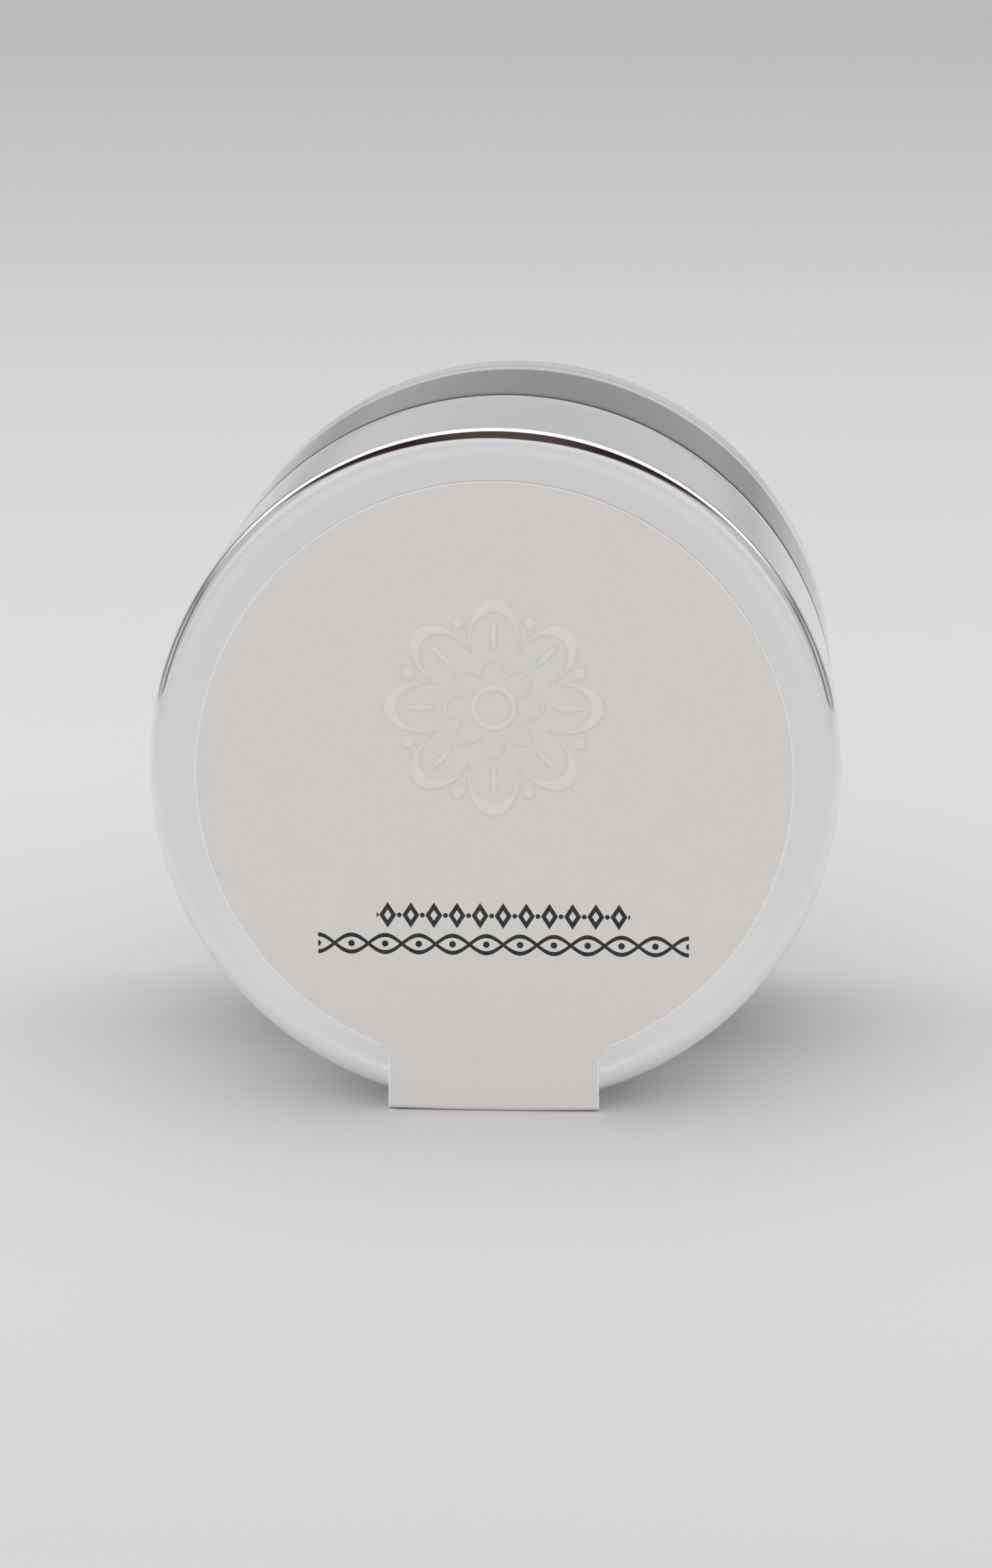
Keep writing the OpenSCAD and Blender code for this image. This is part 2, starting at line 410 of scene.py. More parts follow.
def floor_paint(tree):
    _, along, _ = tree.split(tree.place())
    stops = [((place - FLOOR_FROM) / (FLOOR_TO - FLOOR_FROM), value) for place, value in PAINTED_SWEEP_LIGHT]
    # The ramp paints the sweep's light and shade into its colour
    ramp = tree.node(
        "ShaderNodeValToRGB",
        {"stops": stops},
        {"Fac": (along - FLOOR_FROM) / (FLOOR_TO - FLOOR_FROM)},
    )
    grain = tree.noise(tree.place(), 900.0, 2.0)
    tone = FLOOR_BRIGHT
    return {
        "Base Color": tree.blend(ramp, (0, 0, 0, 1), (tone, tone * 0.994, tone * 1.006, 1)),
        "Roughness": 0.6 + grain * 0.1,
        "Specular IOR Level": 0.15,
        "Normal": tree.bump(grain, 0.02 * MM),
    }


bm = bmesh.new()
bmesh.ops.create_grid(bm, x_segments=8, y_segments=8, size=FLOOR_SIZE / 2)
floor_mesh = bpy.data.meshes.new("floor")
bm.to_mesh(floor_mesh)
bm.free()
floor_mesh.materials.append(finish_material("floor_paper", floor_paint))
floor = bpy.data.objects.new("floor", floor_mesh)
floor.location.z = -FLOOR_UNDER * MM
bpy.context.scene.collection.objects.link(floor)

# %% World light by direction
FRONT_WALL = 0.74    # pale surroundings low on the camera's side
SIDE_WALL = 0.52     # walls left and right
BACK = 0.545         # sweep behind the jar
BACK_GLOW = 0.59     # its brightest stretch, just over the floor
BACK_LOW = 0.51      # where it meets the floor
SOFT_BOX = 1.35      # lamp overhead
DARK = 0.065         # camera and the dim room above it
DARK_SIDES = 0.022   # the dim room to the left and right of the camera
BOX_GAP = 0.16       # gap between the lamp and the sweep, left and right
FLOOR_GAP = 0.2      # dim room past the sides of the sweep
SEEN = 0.52          # what the camera itself sees past the floor
EVEN = 1.0           # even light that matt things also get, as in a white tent
EVEN_SHARE = 0.65    # how much of their light is that even part
# Where each region fades in or out, on a ceiling one unit up or as a part of a direction
BOX_NEAR, BOX_FAR, BOX_SIDE = (0.0, 0.14), (0.98, 1.18), (0.9, 2.1)
GAP_NEAR, GAP_FAR, GAP_SIDE = (1.15, 1.4), (2.0, 2.6), (0.4, 1.1)
DIM_DEPTH, DIM_TAPER, DIM_BLUR, DIM_EDGE = 3.0, 2.6, 0.7, 0.06
DARK_FROM, DARK_TO = 0.12, 0.4
ROOM_NEAR, ROOM_FAR, ROOM_UP = (0.80, 0.87), (0.92, 0.98), (0.3, 0.45)
LOWEST = 0.04        # keeps the ceiling's far parts within bounds

world = bpy.data.worlds.new("studio")
bpy.context.scene.world = world
world.use_nodes = True
sky = Tree(world.node_tree)
side, ahead, height = sky.split(sky.node("ShaderNodeTexCoord", out="Generated"))
steep = sky.math("MAXIMUM", height, LOWEST)
# Where a direction meets that ceiling: to the side, and towards the back
ceiling_side = abs(side / steep)
ceiling_back = ahead / steep

behind = sky.smooth(ahead, -0.1, 0.4)
sideways = sky.smooth(abs(side), 0.3, 0.7)
back = BACK_LOW + sky.smooth(height, 0.0, 0.04) * (BACK_GLOW - BACK_LOW)
back = back + sky.smooth(height, 0.04, 0.16) * (BACK - BACK_GLOW)
glow = FRONT_WALL + sideways * (SIDE_WALL - FRONT_WALL)
glow = glow + behind * (back - glow)
floor_gap = (
    sky.smooth(abs(side), *ROOM_NEAR)
    * (1 - sky.smooth(abs(side), *ROOM_FAR))
    * (1 - sky.smooth(height, *ROOM_UP))
)
glow = glow + floor_gap * (FLOOR_GAP - glow)
dim_front = ceiling_side * DIM_TAPER - DIM_DEPTH
dim = sky.smooth(ceiling_back - dim_front, -DIM_BLUR, DIM_BLUR)
dim = dim * sky.smooth(-ceiling_back, -DIM_EDGE, DIM_EDGE)
dark = DARK + sky.smooth(ceiling_side, DARK_FROM, DARK_TO) * (DARK_SIDES - DARK)
glow = glow + dim * (dark - glow)
gap = (
    sky.smooth(ceiling_back, *GAP_NEAR)
    * (1 - sky.smooth(ceiling_back, *GAP_FAR))
    * sky.smooth(ceiling_side, *GAP_SIDE)
)
glow = glow + gap * (BOX_GAP - glow)
box = (
    sky.smooth(ceiling_back, *BOX_NEAR)
    * (1 - sky.smooth(ceiling_back, *BOX_FAR))
    * (1 - sky.smooth(ceiling_side, *BOX_SIDE))
)
glow = glow + box * (SOFT_BOX - glow)
matt = sky.node("ShaderNodeLightPath", out="Is Diffuse Ray")
glow = glow + matt * EVEN_SHARE * (EVEN - glow)
seen = sky.node("ShaderNodeLightPath", out="Is Camera Ray")
glow = glow + seen * (SEEN - glow)
tint = sky.blend(behind, (1.0, 0.995, 0.99, 1), (0.995, 0.997, 1.02, 1))
tint = sky.blend(dim * (1 - matt), tint, (1.25, 0.92, 0.87, 1))
background = sky.node("ShaderNodeBackground", None, {"Color": tint, "Strength": glow})
sky.node("ShaderNodeOutputWorld", None, {"Surface": background})
print("world light has", len(world.node_tree.nodes), "nodes")

# %% Front fill
FILL_POWER = 3.8
FILL_SIZE = 1.2
FILL_PLACE = Vector((-0.2, -1.6, 0.9))

lamp = bpy.data.objects.new("front_fill", bpy.data.lights.new("front_fill", "AREA"))
lamp.data.shape = "SQUARE"
lamp.data.size = FILL_SIZE
lamp.data.energy = FILL_POWER
lamp.data.color = (1.0, 0.985, 0.97)
lamp.location = FILL_PLACE
lamp.rotation_mode = "QUATERNION"
lamp.rotation_quaternion = (face_middle - FILL_PLACE).to_track_quat("-Z", "Y")
# The metal must not mirror this lamp, which only warms the label
lamp.visible_glossy = False
lamp.visible_transmission = False
bpy.context.scene.collection.objects.link(lamp)
print("front fill stands", round((face_middle - FILL_PLACE).length, 2), "m away")

# %% [markdown]
# ## Bright spun aluminium
#
# The lid's skin is pressed and spun, then polished, so its marks run round the axis. Stretching
# a noise by using radius and depth as its coordinates makes fine rings without any image.
# The rim is a clean mirror; the flat panel is a touch softer, so its reflection blurs.

# %% Aluminium
def radius_and_depth(tree):
    """Distance from the jar's axis and depth behind the lid's rim, in millimetres."""
    across, along, up = tree.split(tree.place())
    drop = up - AXIS
    radius = (across * across + drop * drop) ** 0.5
    return radius / MM, (along - FRONT) / MM


SKIRT_PAINTED_SHADE = 0.25       # painted shade: the skirt's colour is darkened a little
SKIRT_FROM = (RIM_ROUND * 0.9, RIM_ROUND * 1.3)


def aluminium_paint(tree):
    radius, depth = radius_and_depth(tree)
    rings = tree.node("ShaderNodeCombineXYZ", None, {"X": radius, "Y": depth})
    fine = tree.noise(rings, 9.0, 4.0, 0.65)
    broad = tree.noise(tree.place(), 45.0, 2.0)
    panel = 1 - tree.smooth(radius, LID_R - RIM_ROUND - 0.1, LID_R - RIM_ROUND + 0.15)
    skirt = tree.smooth(depth, *SKIRT_FROM)
    rough = 0.04 + panel * 0.13 + skirt * 0.03 + (fine - 0.5) * 0.03 + (broad - 0.5) * 0.02
    tint = tree.blend(fine, (0.89, 0.895, 0.90, 1), (0.945, 0.945, 0.95, 1))
    # Painted shade: the skirt's colour is darkened a little towards grey
    tint = tree.blend(skirt * SKIRT_PAINTED_SHADE, tint, (0.70, 0.70, 0.71, 1))
    return {
        "Base Color": tint,
        "Metallic": 1.0,
        "Roughness": rough,
        "Normal": tree.bump(fine * (panel + skirt), 0.0016 * MM),
    }


aluminium = finish_material("spun_aluminium", aluminium_paint)

# %% Lid skin
SLOPE_STEPS = 12
inner_round = max(RIM_ROUND - SKIN_T, 0.2)
panel_edge = LID_R - RIM_W - SLOPE_W
slope = []
for i in range(SLOPE_STEPS + 1):
    share = i / SLOPE_STEPS
    slope.append((panel_edge + SLOPE_W * share, PANEL_U * (1 - ease(share))))
skin_outline = (
    [(0, PANEL_U)]
    + run((4, PANEL_U), (panel_edge, PANEL_U), 4)
    + slope
    + arc(LID_R - RIM_ROUND, RIM_ROUND, RIM_ROUND, -90, 0, 20)
    + run((LID_R, RIM_ROUND + 1), (LID_R, LID_H - HEM_D), 3)
    + arc(LID_R - HEM_D / 2, LID_H - HEM_D / 2, HEM_D / 2, 0, 180, 14)
    + [(LID_R - HEM_D, LID_H - HEM_D), (LID_R - SKIN_T, LID_H - HEM_D)]
    + arc(LID_R - SKIN_T - inner_round, PANEL_U + SKIN_T + inner_round, inner_round, 0, -90, 8)
    + [(0, PANEL_U + SKIN_T)]
)
bm = bmesh.new()
lathe(bm, skin_outline, 320)
add_object("lid_skin", bm, aluminium, "lid", "lid_shell")

# %% [markdown]
# ## Screw threads from a formula
#
# A moulded thread is a rounded ridge that climbs one pitch a turn and fades out at both ends.
# Sweeping a profile and cutting it into the neck leaves buried faces, which clear glass would
# show. Pushing the wall's own points out by a formula gives one clean skin instead.

# %% Thread height
THREAD_CREST = 0.8
THREAD_ROOT = 1.5
THREAD_FADE = 0.12
THREAD_GRID = 0.14      # the wall's points lie this close where a thread rises


def thread_height(depth, turn, start):
    """How far the thread stands out at a depth and a turn (0 to 1) around the axis."""
    tallest = 0.0
    for lap in range(int(THREAD_TURNS) + 1):
        along = lap + turn
        if along > THREAD_TURNS:
            continue
        off = abs(depth - start - PITCH * along)
        ridge = ease((THREAD_ROOT / 2 - off) / (THREAD_ROOT - THREAD_CREST) * 2)
        share = along / THREAD_TURNS
        fade = ease(min(share, 1 - share) / THREAD_FADE)
        tallest = max(tallest, ridge * fade)
    return THREAD_H * tallest


# %% [markdown]
# ## Clear glass
#
# The jar is soda-lime glass from a mould: colourless, with the faintest waviness that only
# shows where it bends a reflection. Real refraction needs one closed skin with an honest wall
# thickness, so the outline runs up the outside and down the inside. The ring that the jar
# stands on is stippled in the mould, so the heel is matt and glows with the light around it.

# %% Glass
HEEL_ROUND = 3.0
STAND_W = 5.0           # the ring that the jar stands on
STIPPLE_FROM = 4.5      # the stipple starts this far from the base
STIPPLE_FULL = 0.8      # and is full from here on
punt_r = BODY_R - HEEL_ROUND - STAND_W


def glass_paint(tree):
    wave = tree.noise(tree.place(), 60.0, 1.0)
    pits = tree.noise(tree.place(), 1400.0, 2.0)
    radius, depth = radius_and_depth(tree)
    stipple = tree.smooth(depth, BASE_U - STIPPLE_FROM, BASE_U - STIPPLE_FULL)
    stipple = stipple * tree.smooth(radius, punt_r - 0.5, punt_r + 0.3)
    return {
        "Base Color": tree.blend(wave, (0.965, 0.98, 0.975, 1), (0.985, 0.992, 0.99, 1)),
        "Roughness": 0.012 + pits * 0.02 + stipple * 0.9,
        "IOR": 1.52,
        "Transmission Weight": 1.0,
        "Normal": tree.bump(wave, 0.005 * MM),
    }


glass = finish_material("clear_moulded_glass", glass_paint)

# %% Glass jar
SHOULDER_ROUND = 0.6
CAVITY_ROUND = 3.5
BASE_T = 5.5
PUNT_H = 0.9            # depth of the hollow under the base
PUNT_W = 3.0            # width of the slope into it
PUNT_STEPS = 12
NECK_FILLET = 0.8
neck_thread_u = LIP_U + THREAD_DROP
thread_end_u = neck_thread_u + PITCH * THREAD_TURNS + 1
cavity_u = SHOULDER_U + GLASS_T
floor_u = BASE_U - BASE_T
lip_in = LIP_ROUND / 2


def neck_push(radius, depth, turn):
    """Raises the thread on the outside of the neck, and leaves the rest alone."""
    if abs(radius - NECK_R) > 0.01 or depth > SHOULDER_U:
        return radius
    return radius + thread_height(depth, turn, neck_thread_u)


punt = []
for i in range(PUNT_STEPS + 1):
    share = i / PUNT_STEPS
    punt.append((punt_r - PUNT_W * share, BASE_U - PUNT_H * ease(share)))
cavity = (
    [(0, floor_u)]
    + arc(CAVITY_R - CAVITY_ROUND, floor_u - CAVITY_ROUND, CAVITY_ROUND, 90, 0, 14)
    + arc(CAVITY_R - CAVITY_ROUND, cavity_u + CAVITY_ROUND, CAVITY_ROUND, 0, -90, 12)
    + [(MOUTH_R + 1, cavity_u), (MOUTH_R, cavity_u - 1)]
)
jar_outline = (
    arc(MOUTH_R + lip_in, LIP_U + lip_in, lip_in, -180, -90, 6)
    + arc(NECK_R - LIP_ROUND, LIP_U + LIP_ROUND, LIP_ROUND, -90, 0, 8)[:-1]
    + run((NECK_R, LIP_U + LIP_ROUND), (NECK_R, thread_end_u), THREAD_GRID)
    + arc(NECK_R + NECK_FILLET, SHOULDER_U - NECK_FILLET, NECK_FILLET, 180, 90, 6)
    + arc(BODY_R - SHOULDER_ROUND, SHOULDER_U + SHOULDER_ROUND, SHOULDER_ROUND, -90, 0, 12)
    + run((BODY_R, SHOULDER_U + SHOULDER_ROUND + 2), (BODY_R, BASE_U - HEEL_ROUND), 3)
    + arc(BODY_R - HEEL_ROUND, BASE_U - HEEL_ROUND, HEEL_ROUND, 0, 90, 20)
    + punt
    + [(0, BASE_U - PUNT_H)]
    + cavity
)
bm = bmesh.new()
lathe(bm, jar_outline, 256, neck_push)
add_object("glass_jar_body", bm, glass, "jar", "glass_jar")

# %% [markdown]
# ## Black cream behind the glass
#
# Where cream wets the glass there is no air between them, so the wall shows plain black with
# only the outer surface shining. A hair's gap would add a silvery second reflection, so the
# cream is drawn a little larger than the hollow and starts inside the glass. Its surface under
# the disc is scooped a little, as filling and cooling leave it.

# %% Cream
WETTING = 0.05
GLIMMER_W = 4.0         # painted light: the cream's end is painted paler, for light piped through the thick base
CREEP = 0.25            # how far the ring at the wall lies behind the highest one
SCOOP = 0.35            # depth of the scoop just inside it
SCOOP_MIDDLE = 0.2      # and in the middle


def cream_paint(tree):
    swirl = tree.noise(tree.place(), 140.0, 4.0, 0.6)
    fine = tree.noise(tree.place(), 900.0, 2.0)
    radius, depth = radius_and_depth(tree)
    # Painted light: the cream is painted paler near its end by the base
    glimmer = tree.smooth(depth, floor_u - GLIMMER_W, floor_u)
    glimmer = glimmer * tree.smooth(radius, CAVITY_R - 2, CAVITY_R)
    black = tree.blend(swirl, (0.004, 0.004, 0.005, 1), (0.010, 0.0095, 0.011, 1))
    return {
        "Base Color": tree.blend(glimmer, black, (0.30, 0.30, 0.31, 1)),
        "Roughness": 0.42 + swirl * 0.2,
        "Specular IOR Level": 0.1,
        "Normal": tree.bump(swirl + fine * 0.2, 0.12 * MM),
    }


cream = finish_material("black_cream", cream_paint)
cream_round = CAVITY_ROUND + WETTING
cream_outline = (
    [(0, floor_u + WETTING)]
    + arc(CAVITY_R - CAVITY_ROUND, floor_u - CAVITY_ROUND, cream_round, 90, 0, 14)
    + arc(CAVITY_R - CAVITY_ROUND, cavity_u + CAVITY_ROUND, cream_round, 0, -90, 12)
    + [(MOUTH_R + 1 + WETTING, cavity_u - WETTING), (MOUTH_R + WETTING, cavity_u - 1)]
    + [(MOUTH_R + WETTING, FILL_U + CREEP), (MOUTH_R - 0.1, FILL_U)]
    + run((MOUTH_R - 1.2, FILL_U + SCOOP), (2, FILL_U + SCOOP_MIDDLE), 2)
    + [(0, FILL_U + SCOOP_MIDDLE)]
)
bm = bmesh.new()
lathe(bm, cream_outline, 192)
add_object("cream_fill", bm, cream, "jar", "polish")

# %% [markdown]
# ## Moulded plastic inside the lid
#
# Three plain plastic parts sit under the metal: the threaded insert, the foam wad that seals
# the mouth, and a thin dished disc with a finger lug. They share one recipe with different
# numbers, because what tells them apart is mostly gloss, grain and how deep light sinks in.

# %% Plastic and foam
def plastic_paint(light, shade, rough, grain_scale, grain_depth, sink):
    """A paint for pale plastic: two close colours, a moulded grain and some depth to the light."""
    def paint(tree):
        cloud = tree.noise(tree.place(), 70.0, 2.0)
        grain = tree.noise(tree.place(), grain_scale, 3.0)
        return {
            "Base Color": tree.blend(cloud, shade, light),
            "Roughness": rough + grain * 0.12,
            "Subsurface Weight": sink,
            "Subsurface Radius": (1.0, 0.9, 0.8),
            "Subsurface Scale": 1.2 * MM,
            "Normal": tree.bump(grain, grain_depth * MM),
        }
    return paint


white_plastic = finish_material("white_insert_plastic", plastic_paint(
    (0.80, 0.80, 0.785, 1), (0.76, 0.76, 0.75, 1), 0.30, 700.0, 0.012, 0.15))
milky_plastic = finish_material("milky_disc_plastic", plastic_paint(
    (0.78, 0.79, 0.79, 1), (0.70, 0.72, 0.73, 1), 0.24, 500.0, 0.010, 0.6))
foam = finish_material("closed_cell_foam", plastic_paint(
    (0.84, 0.84, 0.83, 1), (0.77, 0.77, 0.76, 1), 0.62, 2600.0, 0.06, 0.2))

# %% Threaded insert
CEILING_U = WAD_U - SEAL_GAP
COLLAR_H = 2.0
INSERT_WALL = 1.3
LEAD_IN = 0.4
COLLAR_ROUND = 0.2
insert_edge = inner_round + FIT_GAP
insert_thread_u = neck_thread_u + PITCH / 2
insert_thread_end = insert_thread_u + PITCH * THREAD_TURNS + 1


def bore_push(radius, depth, turn):
    """Raises the thread inside the insert's wall."""
    if abs(radius - BORE_R) > 0.01:
        return radius
    return radius - thread_height(depth, turn, insert_thread_u)


wall_r = BORE_R + INSERT_WALL
insert_outline = (
    [(0, INSERT_U)]
    + arc(INSERT_R - insert_edge, INSERT_U + insert_edge, insert_edge, -90, 0, 6)
    + arc(INSERT_R - COLLAR_ROUND, CEILING_U + COLLAR_H - COLLAR_ROUND, COLLAR_ROUND, 0, 90, 3)
    + [(wall_r, CEILING_U + COLLAR_H), (wall_r, INSERT_END_U - COLLAR_H)]
    + arc(INSERT_R - COLLAR_ROUND, INSERT_END_U - COLLAR_H + COLLAR_ROUND, COLLAR_ROUND, -90, 0, 3)
    + arc(INSERT_R - COLLAR_ROUND, INSERT_END_U - COLLAR_ROUND, COLLAR_ROUND, 0, 90, 3)
    + [(BORE_R + LEAD_IN, INSERT_END_U), (BORE_R, INSERT_END_U - LEAD_IN)]
    + [(BORE_R, insert_thread_end)]
    + run((BORE_R, insert_thread_end), (BORE_R, insert_thread_u - 1), THREAD_GRID)[1:]
    + [(BORE_R, insert_thread_u - 1), (BORE_R, CEILING_U), (0, CEILING_U)]
)
bm = bmesh.new()
lathe(bm, insert_outline, 224, bore_push)
add_object("threaded_insert", bm, white_plastic, "lid", "lid_insert")

# %% Foam wad
WAD_ROUND = 0.3
PRESS_RING_R = (NECK_R + MOUTH_R) / 2
PRESS_DEPTH = 0.15      # the jar's lip leaves a shallow ring in the foam
PRESS_W = 3.6
PRESS_STEPS = 16
press_ring = []
for i in range(PRESS_STEPS + 1):
    share = i / PRESS_STEPS
    dent = PRESS_DEPTH * math.sin(math.pi * share) ** 2
    press_ring.append((PRESS_RING_R + PRESS_W * (0.5 - share), WAD_END_U - dent))
wad_outline = (
    [(0, WAD_U)]
    + arc(WAD_R - WAD_ROUND, WAD_U + WAD_ROUND, WAD_ROUND, -90, 0, 5)
    + arc(WAD_R - WAD_ROUND, WAD_END_U - WAD_ROUND, WAD_ROUND, 0, 90, 5)
    + press_ring
    + run((PRESS_RING_R - 2, WAD_END_U), (2, WAD_END_U), 2)
    + [(0, WAD_END_U)]
)
bm = bmesh.new()
lathe(bm, wad_outline, 160)
add_object("foam_wad", bm, foam, "wad", "lid_wad")

# %% Sealing disc with its finger lug
LUG_L = 12.0
LUG_T = 1.2
LUG_H = 3.6
LUG_FOOT = 0.5          # how far the lug's foot spreads on each side
FOOT_H = 0.8            # and over which height
DISH_ROUND = 0.8
PLUG_ROUND = 1.0
MOUTH_BEND = 0.3        # where the plug's wall turns into the flange
FLANGE_ROUND = 0.25
FLANGE_AIR = 0.04       # between the flange and the jar's lip
plug_r = MOUTH_R - PLUG_GAP
dish_r = plug_r - DISC_T
dish_u = DISC_END_U - DISC_T
flange_end_u = DISC_U + DISC_T - FLANGE_AIR
disc_outline = (
    [(0, dish_u)]
    + run((2, dish_u), (dish_r - DISH_ROUND, dish_u), 2)
    + arc(dish_r - DISH_ROUND, dish_u - DISH_ROUND, DISH_ROUND, 90, 0, 6)
    + arc(dish_r + MOUTH_BEND, DISC_U + MOUTH_BEND, MOUTH_BEND, 180, 270, 4)
    + arc(FLANGE_R - FLANGE_ROUND, DISC_U + FLANGE_ROUND, FLANGE_ROUND, -90, 0, 4)
    + [(FLANGE_R, flange_end_u), (plug_r, flange_end_u)]
    + arc(plug_r - PLUG_ROUND, DISC_END_U - PLUG_ROUND, PLUG_ROUND, 0, 90, 6)
    + [(0, DISC_END_U)]
)
bm = bmesh.new()
lathe(bm, disc_outline, 192)


def lug_outline(height, steps=20):
    """A stadium round the lug at a height above the dish, wide at the foot and round on top."""
    half = LUG_T / 2 + LUG_FOOT * (1 - ease(height / FOOT_H))
    top = LUG_H - LUG_T / 2
    if height > top:
        half = max(0.02, math.sqrt(max(0.0, (LUG_T / 2) ** 2 - (height - top) ** 2)))
    reach = LUG_L / 2 - LUG_T / 2
    loop = []
    for side_sign, first in ((1, -90), (-1, 90)):
        for i in range(steps + 1):
            angle = math.radians(first + 180 * i / steps)
            loop.append((side_sign * reach + half * math.cos(angle), half * math.sin(angle)))
    return loop


# Heights above the dish: the first lies buried in it, the last ones round the lug's top
levels = [-0.3, 0.0, 0.2, 0.4, 0.6, 0.8, 1.8, 2.6]
levels += [LUG_H - LUG_T / 2 + LUG_T / 2 * math.sin(math.radians(9 * i)) for i in range(11)]
loops = []
for level in levels:
    loops.append([bm.verts.new(spot(x, y, dish_u - level)) for x, y in lug_outline(max(level, 0))])
for low, high in zip(loops, loops[1:]):
    for i in range(len(low)):
        j = (i + 1) % len(low)
        bm.faces.new((low[i], low[j], high[j], high[i]))
bm.faces.new(loops[0])
bm.faces.new(loops[-1])
add_object("sealing_disc_plate", bm, milky_plastic, "jar", "sealing_disc")

# %% [markdown]
# ## The paper label
#
# The label is one sheet: a disc on the panel, a tab that runs down over the rim, a fold, and a
# tail under the skirt. Modelling it as one strip of rows keeps the paper's thickness even.
# Each row knows its half width and how far along the sheet it lies, and one function bends
# that length over the lid. The stamped ornament is real relief in the same rows.

# %% Ornament stamped in the paper
STAMP_RISE = 6.3        # the stamp's middle above the lid's
STAMP_R = 10.7
STAMP_DEPTH = 0.09
PETALS = 8
PETAL_ROOT, PETAL_LENGTH = 5.6, 4.1
INNER_ROOT, INNER_LENGTH = 3.0, 1.6
VEIN_LENGTH = 2.8
EYE_R = 1.9
DOT_FROM_MIDDLE, DOT_R = 8.7, 0.75


def stroke(distance, width):
    """1 on a line, 0 beyond half its width, with soft shoulders."""
    return ease((width / 2 + 0.12 - abs(distance)) / 0.24)


def stamp(x, y):
    """Height of the rosette at a point right of and above its middle, from 0 to 1."""
    radius = math.hypot(x, y)
    if radius > STAMP_R:
        return 0.0
    angle = math.atan2(x, y)
    turn = angle * PETALS / (2 * math.pi)
    petal_angle = round(turn) * 2 * math.pi / PETALS
    notch_angle = (math.floor(turn) + 0.5) * 2 * math.pi / PETALS
    wave = abs(math.cos(angle * PETALS / 2))
    height = stroke(radius - PETAL_ROOT - PETAL_LENGTH * wave ** 0.7, 0.55 + 0.75 * wave)
    height = max(height, stroke(radius - INNER_ROOT - INNER_LENGTH * wave, 0.35))
    height = max(height, stroke(radius - EYE_R, 0.6))
    if 0 < radius - PETAL_ROOT < VEIN_LENGTH:
        vein = 0.3 + 0.35 * math.sin((radius - PETAL_ROOT) / VEIN_LENGTH * math.pi)
        height = max(height, stroke(radius * math.sin(angle - petal_angle), vein))
    dot_x = DOT_FROM_MIDDLE * math.sin(notch_angle)
    dot_y = DOT_FROM_MIDDLE * math.cos(notch_angle)
    return max(height, ease((DOT_R - math.hypot(x - dot_x, y - dot_y)) / 0.3))


# %% Bending the sheet over the lid
FOLD_R = 0.5
FILLET = 1.0
EDGE_LIFT = 0.15        # the tab's sides curl up by this much
LIFT_OVER = 2.0         # and start to curl over this length
STEP_W = 1.6            # the paper bridges the panel's edge over this width
label_end_u = TAIL_U - TEAR_GAP
fold_start = LID_R + PAPER_T - FOLD_R
fold_length = math.pi / 2 * FOLD_R
fold_u = FOLD_R - PAPER_T
sheet_end = fold_start + fold_length + label_end_u - fold_u


def bend(x, length):
    """Drop and depth of the sheet's outer side, and its outward normal, at a length along it."""
    if length <= fold_start:
        step_up = ease((math.hypot(x, length) - panel_edge + STEP_W) / (SLOPE_W + STEP_W))
        return length, PANEL_U * (1 - step_up) - PAPER_T, (0.0, -1.0)
    over = length - fold_start
    if over < fold_length:
        normal = (math.sin(over / FOLD_R), -math.cos(over / FOLD_R))
        return fold_start + FOLD_R * normal[0], fold_u + FOLD_R * normal[1], normal
    return LID_R + PAPER_T, fold_u + over - fold_length, (1.0, 0.0)


fillet_x = TAB_HALF + FILLET
fillet_y = math.sqrt((LABEL_R + FILLET) ** 2 - fillet_x ** 2)
fillet_top = fillet_y * LABEL_R / (LABEL_R + FILLET)


def half_width(row):
    """Half the sheet's width at a row, counted down from the round label's own middle."""
    if row < fillet_top:
        return math.sqrt(max(0.0, LABEL_R ** 2 - row ** 2))
    if row < fillet_y:
        return fillet_x - math.sqrt(max(0.0, FILLET ** 2 - (row - fillet_y) ** 2))
    return TAB_HALF


# %% Rows and columns of the sheet
ROW_STAMP, COLUMN_STAMP = 0.15, 0.16
STAMP_COLUMNS = 12.4    # columns are close together out to here, so that the stamp is crisp
PLAIN_STEP = 0.6
BRIDGE_STEP = 0.3
BEND_STEP = 0.15
CURVE_STEP = 0.08
TAIL_STEP = 2.0
SIDE_STEP = 0.8
TOP_HALF = 1.2          # half the width of the topmost row
TOP_ROWS = 40


def spaced(first, last, step):
    count = max(1, math.ceil((last - first) / step))
    return [first + (last - first) * i / count for i in range(count)]


stamp_top = -STAMP_RISE - STAMP_R - LABEL_DROP
stamp_end = stamp_top + 2 * STAMP_R
step_row = panel_edge - STEP_W - LABEL_DROP - LIFT_OVER
fold_row = fold_start - LABEL_DROP
tail_row = fold_row + fold_length
top_angle = math.acos(TOP_HALF / LABEL_R)
stamp_angle = math.asin(-stamp_top / LABEL_R)
top_rows = []
for i in range(TOP_ROWS):
    turn = top_angle + (stamp_angle - top_angle) * i / TOP_ROWS
    top_rows.append(-LABEL_R * math.sin(turn))
rows = (
    top_rows
    + spaced(stamp_top, stamp_end, ROW_STAMP)
    + spaced(stamp_end, fillet_top, PLAIN_STEP)
    + spaced(fillet_top, fillet_y, CURVE_STEP)
    + spaced(fillet_y, step_row, BRIDGE_STEP)
    + spaced(max(step_row, fillet_y), fold_row, BEND_STEP)
    + spaced(fold_row, tail_row, CURVE_STEP)
    + spaced(tail_row, sheet_end - LABEL_DROP, TAIL_STEP)
    + [sheet_end - LABEL_DROP]
)
half_columns = spaced(0, STAMP_COLUMNS, COLUMN_STAMP) + spaced(STAMP_COLUMNS, LABEL_R, SIDE_STEP)
half_columns.append(LABEL_R)
columns = [-c for c in reversed(half_columns[1:])] + half_columns
print("label sheet:", len(rows), "rows by", len(columns), "columns")


